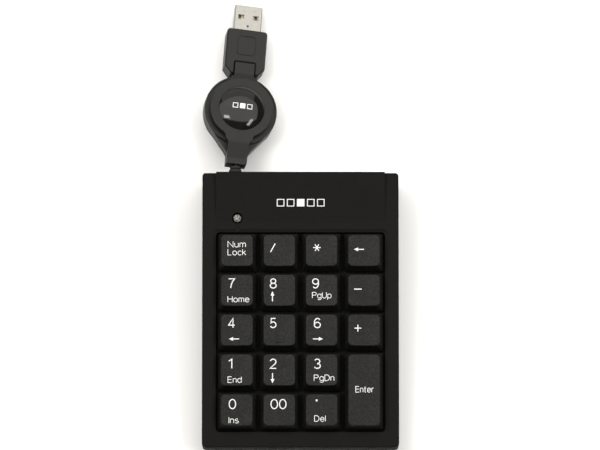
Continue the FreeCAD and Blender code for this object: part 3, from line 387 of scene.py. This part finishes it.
def glyphs():
    """Single-line letters: strokes on a cap height of 1, from a left edge at 0."""
    stem = [(0, 0), (0, X_HIGH)]
    bowl = arc(0.25, 0.36, 0.25, 0.36, 0, FULL)
    six = [arc(0.28, 0.29, 0.28, 0.29, 0, FULL), arc(0.30, 0.50, 0.30, 0.50, 45, 205)]
    return {
        "0": [arc(0.28, 0.5, 0.28, 0.5, 0, FULL)],
        "1": [[(0, 0.78), (0.24, 1), (0.24, 0)]],
        "2": [arc(0.28, 0.71, 0.27, 0.29, 165, -38) + [(0, 0), (0.57, 0)]],
        "3": [arc(0.26, 0.76, 0.23, 0.24, 155, -90) + arc(0.26, 0.26, 0.27, 0.26, 90, -155)],
        "4": [[(0.43, 0), (0.43, 1), (0, 0.27), (0.60, 0.27)]],
        "5": [[(0.51, 1), (0.11, 1), (0.05, 0.50)] + arc(0.27, 0.31, 0.28, 0.31, 140, -155)],
        "6": six,
        "7": [[(0, 1), (0.56, 1), (0.38, 0.72), (0.25, 0.40), (0.19, 0)]],
        "8": [arc(0.28, 0.76, 0.23, 0.24, 0, FULL), arc(0.28, 0.26, 0.28, 0.26, 0, FULL)],
        "9": half_turned(six, 0.57),
        "D": [[(0, 0), (0, 1), (0.24, 1)] + arc(0.24, 0.5, 0.36, 0.5, 80, -80) + [(0.24, 0), (0, 0)]],
        "E": [[(0.50, 1), (0, 1), (0, 0), (0.52, 0)], [(0, 0.53), (0.46, 0.53)]],
        "H": [[(0, 0), (0, 1)], [(0.58, 0), (0.58, 1)], [(0, 0.53), (0.58, 0.53)]],
        "I": [[(0, 0), (0, 1)]],
        "L": [[(0, 1), (0, 0), (0.45, 0)]],
        "N": [[(0, 0), (0, 1), (0.58, 0), (0.58, 1)]],
        "P": [[(0, 0), (0, 1), (0.30, 1)] + arc(0.30, 0.75, 0.25, 0.25, 75, -75) + [(0.30, 0.5), (0, 0.5)]],
        "U": [[(0, 1)] + arc(0.28, 0.28, 0.28, 0.28, 180, 360) + [(0.56, 1)]],
        "c": [arc(0.25, 0.36, 0.25, 0.36, 45, 315)],
        "d": [bowl, [(0.50, 0), (0.50, 1)]],
        "e": [[(0.02, 0.37), (0.49, 0.37)] + arc(0.25, 0.36, 0.24, 0.36, 10, 320)],
        "g": [bowl, [(0.50, X_HIGH)] + arc(0.26, -0.08, 0.24, 0.20, 0, -150)],
        "k": [[(0, 0), (0, 1)], [(0.38, X_HIGH), (0, 0.32)], [(0.15, 0.45), (0.42, 0)]],
        "l": [[(0, 0), (0, 1)]],
        "m": [stem, arc(0.16, 0.50, 0.16, 0.22, 175, 0) + [(0.32, 0)],
              arc(0.48, 0.50, 0.16, 0.22, 175, 0) + [(0.64, 0)]],
        "n": [stem, arc(0.21, 0.48, 0.21, 0.24, 175, 0) + [(0.42, 0)]],
        "o": [bowl],
        "p": [[(0, X_HIGH), (0, -0.28)], bowl],
        "r": [stem, arc(0.24, 0.42, 0.24, 0.30, 170, 80)],
        "s": [arc(0.20, 0.55, 0.18, 0.17, 40, 265) + arc(0.20, 0.19, 0.20, 0.19, 85, -140)],
        "t": [[(0.12, 0.95), (0.12, 0.15)] + arc(0.23, 0.12, 0.11, 0.12, 190, 290),
              [(0, 0.70), (0.30, 0.70)]],
        "u": [[(0, X_HIGH)] + arc(0.21, 0.23, 0.21, 0.23, 180, 355), [(0.42, X_HIGH), (0.42, 0)]],
    }


GLYPHS = glyphs()


def ribbon_polygons(points, stroke):
    """Four-cornered pieces, end to end with mitred joints, that draw a line with the given stroke."""
    closed = math.dist(points[0], points[-1]) < 1e-6
    sides = []
    for i, here in enumerate(points):
        before = points[i - 1] if i > 0 else (points[-2] if closed else None)
        after = points[i + 1] if i < len(points) - 1 else (points[1] if closed else None)
        ways = []
        if before:
            ways.append((Vector(here) - Vector(before)).normalized())
        if after:
            ways.append((Vector(after) - Vector(here)).normalized())
        along = sum(ways, Vector((0, 0))).normalized()
        reach = stroke / 2 / max(along.dot(ways[0]), 0.5)
        across = Vector((-along.y, along.x)) * reach
        sides.append((Vector(here) + across, Vector(here) - across))
    pieces = []
    for (left, right), (next_left, next_right) in zip(sides, sides[1:]):
        pieces.append([right[:], next_right[:], next_left[:], left[:]])
    return pieces


def word(letters, cap_high, width, stroke):
    """Polygons of a word, its left edge and baseline at 0, drawn to the given width."""
    lines = []
    pen = 0.0
    for letter in letters:
        strokes = GLYPHS[letter]
        lines += [[(x + pen, y) for x, y in line] for line in strokes]
        pen = max(x for line in lines for x, y in line) + LETTER_GAP
    wide = (width - stroke) / (pen - LETTER_GAP)
    high = cap_high - stroke
    polygons = []
    for line in lines:
        polygons += ribbon_polygons([(stroke / 2 + x * wide, stroke / 2 + y * high) for x, y in line], stroke)
    return polygons


def shape_mesh(polygons):
    """Flat polygons in mm with the letters' thickness."""
    mesh = bpy.data.meshes.new("shape")
    bm = bmesh.new()
    for corners in polygons:
        low = [bm.verts.new((x, y, 0.0)) for x, y in corners]
        high = [bm.verts.new((x, y, INK_HIGH)) for x, y in corners]
        bm.faces.new(list(reversed(low)))
        bm.faces.new(high)
        for i in range(len(corners)):
            j = (i + 1) % len(corners)
            bm.faces.new((low[i], low[j], high[j], high[i]))
    bm.to_mesh(mesh)
    bm.free()
    return mesh


def turned(polygon, degrees, centre=(0.0, 0.0)):
    angle = math.radians(degrees)
    c, s = math.cos(angle), math.sin(angle)
    return [(centre[0] + x * c - y * s, centre[1] + x * s + y * c) for x, y in polygon]


def bar(long, thick):
    """Bar about 0, along X."""
    return [(-long / 2, -thick / 2), (long / 2, -thick / 2), (long / 2, thick / 2), (-long / 2, thick / 2)]


def disc(radius, count=24):
    steps = [2 * math.pi * i / count for i in range(count)]
    return [(radius * math.cos(a), radius * math.sin(a)) for a in steps]


def arrow(degrees, long=4.3):
    """Arrow about 0 with a solid head; it points left before it turns."""
    head, half, stroke = 1.8, 0.8, 0.4
    neck = head - long / 2 - 0.1
    shaft = [(neck, -stroke / 2), (long / 2, -stroke / 2), (long / 2, stroke / 2), (neck, stroke / 2)]
    tip = [(-long / 2, 0.0), (head - long / 2, -half), (head - long / 2, half)]
    return [turned(shaft, degrees), turned(tip, degrees)]


def asterisk():
    return [turned(bar(3.2, 0.38), degrees) for degrees in (0, 60, 120)]


def plus_sign():
    return [bar(2.9, 0.4), turned(bar(2.9, 0.4), 90)]


# A legend's parts: ("text", word, cap height, width, left, baseline) or ("shape", polygons, x, y),
# in mm from the left rear corner of the key's top face, y towards the front.
DIGIT = 4.35
DIGIT_STROKE = 0.42
WORD = 2.7
WORD_STROKE = 0.26
SIGN_Y = 6.05
LEGENDS = {
    "key_num_lock": [("text", "Num", WORD, 7.8, 2.6, 5.2), ("text", "Lock", WORD, 7.9, 2.6, 8.6)],
    "key_divide": [("shape", [turned(bar(4.2, 0.42), 61)], 3.9, 5.4)],
    "key_multiply": [("shape", asterisk(), 4.7, 5.3)],
    "key_backspace": [("shape", arrow(0), 4.6, SIGN_Y)],
    "key_7": [("text", "7", DIGIT, 2.95, 2.9, 5.8), ("text", "Home", WORD, 9.3, 2.6, 11.7)],
    "key_8": [("text", "8", DIGIT, 2.95, 2.6, 5.8), ("shape", arrow(-90), 3.75, 9.15)],
    "key_9": [("text", "9", DIGIT, 2.95, 2.6, 5.8), ("text", "PgUp", WORD, 8.3, 2.6, 10.0)],
    "key_minus": [("shape", [bar(3.2, 0.45)], 4.1, SIGN_Y)],
    "key_4": [("text", "4", DIGIT, 3.05, 2.85, 5.7), ("shape", arrow(0), 5.4, 10.3)],
    "key_5": [("text", "5", DIGIT, 2.85, 2.6, 5.7)],
    "key_6": [("text", "6", DIGIT, 3.0, 3.35, 5.7), ("shape", arrow(180), 5.1, 10.3)],
    "key_plus": [("shape", plus_sign(), 4.1, 5.7)],
    "key_1": [("text", "1", DIGIT, 1.7, 3.0, 6.05), ("text", "End", WORD, 6.0, 2.7, 12.0)],
    "key_2": [("text", "2", DIGIT, 2.95, 2.6, 6.05), ("shape", arrow(90), 3.8, 10.05)],
    "key_3": [("text", "3", DIGIT, 2.95, 3.35, 6.05), ("text", "PgDn", WORD, 8.7, 3.35, 11.2)],
    "key_0": [("text", "0", DIGIT, 3.15, 3.2, 6.2), ("text", "Ins", WORD, 4.3, 3.15, 12.2)],
    "key_00": [("text", "00", DIGIT, 6.8, 2.95, 6.2)],
    "key_decimal": [("shape", [disc(0.42)], 4.55, 2.45), ("text", "Del", WORD, 4.9, 3.5, 11.5)],
    "key_enter": [("text", "Enter", WORD, 7.85, 3.0, 16.1)],
}
KEY_ORDER = [
    ["key_num_lock", "key_divide", "key_multiply", "key_backspace"],
    ["key_7", "key_8", "key_9", "key_minus"],
    ["key_4", "key_5", "key_6", "key_plus"],
    ["key_1", "key_2", "key_3", "key_enter"],
    ["key_0", "key_00", "key_decimal"],
]


def join_meshes(meshes, name):
    bm = bmesh.new()
    for mesh in meshes:
        bm.from_mesh(mesh)
        bpy.data.meshes.remove(mesh)
    made = bpy.data.meshes.new(name)
    bm.to_mesh(made)
    bm.free()
    return made


def show(mesh, body, material):
    """Links a finished mesh as a piece that rides on a body."""
    obj = bpy.data.objects.new(mesh.name, mesh)
    bpy.context.scene.collection.objects.link(obj)
    mesh.materials.clear()
    mesh.materials.append(material)
    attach(obj, body)
    return obj


def legend(key, mid_x, mid_y, material):
    """Prints one key's legend on its dished top."""
    parts = []
    for part in LEGENDS[key]:
        if part[0] == "text":
            stroke = DIGIT_STROKE if part[2] == DIGIT else WORD_STROKE
            mesh = shape_mesh(word(part[1], part[2], part[3], stroke))
            left, down = part[4], part[5]
        else:
            mesh = shape_mesh(part[1])
            left, down = part[2], part[3]
        for v in mesh.vertices:
            v.co.x += left - KEY_TOP / 2
            v.co.y += mid_y + KEY_TOP_SHIFT + KEY_TOP_D / 2 - down
        parts.append(mesh)
    mesh = join_meshes(parts, key.replace("key", "legend"))
    for v in mesh.vertices:
        high = on_dish(v.co.x) + v.co.z
        v.co = DECK @ (Vector((v.co.x + mid_x, v.co.y, high)) * MM)
    show(mesh, key, material)


def legends(material):
    for row, keys in enumerate(KEY_ORDER):
        for column, key in enumerate(keys):
            legend(key, COLUMN_X[column], ROW_Y[row], material)


# ================================================================ rubber domes
def key_sites():
    """Middle of each key on the deck, in mm."""
    sites = {}
    for row, keys in enumerate(KEY_ORDER):
        for column, key in enumerate(keys):
            sites[key] = (COLUMN_X[column], ROW_Y[row])
    sites["key_enter"] = (COLUMN_X[3], (ROW_Y[3] + ROW_Y[4]) / 2)
    return sites


def dome_owners(mesh, sites):
    """For each face of the dome sheet, the key whose dome it belongs to, or None for the flat sheet."""
    to_deck = Matrix.Scale(1 / MM, 4) @ DECK.inverted()
    owners = []
    for face in mesh.polygons:
        middle = to_deck @ face.center
        owner = None
        if middle.z > FILM_TOP_Z + 0.05:
            for key, (x, y) in sites.items():
                if math.hypot(middle.x - x, middle.y - y) < DOME_FOOT_R:
                    owner = key
        owners.append(owner)
    return owners


def part_of_sheet(source, owners, owner, name, material):
    """Copy of the CAD's dome sheet that keeps only one owner's faces."""
    bm = bmesh.new()
    bm.from_mesh(source)
    others = [face for face, found in zip(bm.faces, owners) if found != owner]
    bmesh.ops.delete(bm, geom=others, context="FACES")
    mesh = bpy.data.meshes.new(name)
    bm.to_mesh(mesh)
    bm.free()
    return show(mesh, "keypad", material)


def domes(material):
    """Takes the rubber sheet apart into a flat sheet and one piece for each key's dome, all riding on the
    keypad.
    """
    sites = key_sites()
    source = bpy.data.objects["dome_sheet"].data
    owners = dome_owners(source, sites)
    sheet = part_of_sheet(source, owners, None, "dome_sheet_flat", material)
    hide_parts("dome_sheet")
    for key, (x, y) in sites.items():
        dome = part_of_sheet(source, owners, key, key.replace("key", "dome"), material)
        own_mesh(dome)


# ================================================================ marks, cap and lead
def squares(count, side, gap, line):
    """A row of outlined squares about 0, with the middle one filled."""
    polygons = []
    for i in range(count):
        x = (i - (count - 1) / 2) * (side + gap)
        if i == count // 2:
            polygons.append([(px + x, py) for px, py in bar(side, side)])
            continue
        reach = (side - line) / 2
        for degrees, sx, sy in ((0, 0, -reach), (0, 0, reach), (90, -reach, 0), (90, reach, 0)):
            long = side if degrees == 0 else side - 2 * line
            polygons.append(turned(bar(long, line), degrees, (x + sx, sy)))
    return polygons


def panel_mark(material):
    """Plain row of key outlines on the raised panel."""
    mesh = shape_mesh(squares(5, 3.2, 1.1, 0.35))
    mesh.name = "panel_mark"
    tilt = math.atan(HUMP_RISE / (CASE_REAR_Y - HUMP_START_Y))
    high = (MARK_Y - HUMP_START_Y) * math.tan(tilt)
    put = Matrix.Translation(Vector((MARK_X, MARK_Y, high + 0.01)) * MM) @ Matrix.Rotation(tilt, 4, "X")
    mesh.transform(DECK @ put @ Matrix.Scale(MM, 4))
    show(mesh, "keypad", material)


def on_cap(x, y):
    """Height of the cap's dome in the reel's frame."""
    share = math.hypot(x, y) / CAP_R
    return CAP_SEAT_Z + CAP_RIM + CAP_DOME * (1 - share ** CAP_FULL)


def cap_mark(material):
    mesh = shape_mesh(squares(3, 2.3, 0.8, 0.3))
    mesh.name = "cap_mark"
    for v in mesh.vertices:
        x, y = v.co.x, v.co.y + 0.2
        v.co = REEL @ (Vector((x, y, on_cap(x, y) + 0.02 + v.co.z)) * MM)
    show(mesh, "reel", material)


def lathe(profile, count, name):
    """Surface of revolution about Z from (radius, z) points, closed on the axis at both ends."""
    mesh = bpy.data.meshes.new(name)
    bm = bmesh.new()
    rings = []
    for radius, z in profile:
        steps = [2 * math.pi * i / count for i in range(count)]
        rings.append([bm.verts.new((radius * math.cos(a), radius * math.sin(a), z)) for a in steps])
    for low, high in zip(rings, rings[1:]):
        for i in range(count):
            j = (i + 1) % count
            bm.faces.new((low[i], low[j], high[j], high[i]))
    bm.faces.new(list(reversed(rings[0])))
    bm.faces.new(rings[-1])
    for face in bm.faces:
        face.smooth = len(face.verts) == 4
    bm.to_mesh(mesh)
    bm.free()
    return mesh


def cap(material):
    """The glossy cap with a fuller dome that turns down at its rim."""
    profile = [(CAP_R - 0.1, CAP_SEAT_Z), (CAP_R, CAP_SEAT_Z + 0.08)]
    shares = [math.sin(math.pi / 2 * (1 - i / 40)) for i in range(41)]
    profile += [(CAP_R * max(share, 0.01), on_cap(CAP_R * share, 0)) for share in shares]
    mesh = lathe(profile, 128, "cap_dome")
    mesh.transform(REEL @ Matrix.Scale(MM, 4))
    obj = show(mesh, "reel", material)
    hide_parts("reel_cap")


def lead_span(name, start, end, frame_a, frame_b, material):
    """Flat lead between two ends; each end keeps the section of its own frame."""
    rows = 25
    half_t, half_w = CORD_THICK / 2 - 0.01, CORD_WIDE / 2 - 0.01
    section = [(-half_t, -half_w), (half_t, -half_w), (half_t, half_w), (-half_t, half_w)]
    mesh = bpy.data.meshes.new(name)
    bm = bmesh.new()
    rings = []
    for i in range(rows):
        share = i / (rows - 1)
        ring = []
        for x, z in section:
            a = frame_a @ (Vector((x + start[0], start[1], z + start[2])) * MM)
            b = frame_b @ (Vector((x + end[0], end[1], z + end[2])) * MM)
            ring.append(bm.verts.new(a.lerp(b, share)))
        rings.append(ring)
    for low, high in zip(rings, rings[1:]):
        for i in range(4):
            j = (i + 1) % 4
            bm.faces.new((low[i], low[j], high[j], high[i]))
    bm.faces.new(list(reversed(rings[0])))
    bm.faces.new(rings[-1])
    bmesh.ops.recalc_face_normals(bm, faces=bm.faces)
    bm.to_mesh(mesh)
    bm.free()
    mesh.materials.append(material)
    obj = bpy.data.objects.new(name, mesh)
    bpy.context.scene.collection.objects.link(obj)
    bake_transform(obj)


def lead_spans(material):
    """The two short bare stretches of lead, at their rest lengths."""
    still = Matrix.Identity(4)
    boot_tip = CASE_REAR_Y + BOOT_LONG
    lead_span("lead_keypad_to_reel", (CORD_X, boot_tip - 0.3, CORD_Z), (0, NECK_END_Y + 0.4, 0),
              still, REEL, material)
    lead_span("lead_reel_to_plug", (0, TONGUE_END_Y - 0.4, 0), (0, NOTCH_END_Y + 0.3, 0),
              REEL, REEL, material)


# ================================================================ everything
camera()
slots = materials()
studio()
dress_nodes(slots)
domes(slots["silicone"])
legends(slots["ink"])
panel_mark(slots["ink"])
cap(slots["gloss"])
cap_mark(slots["ink"])
lead_spans(slots["cord"])
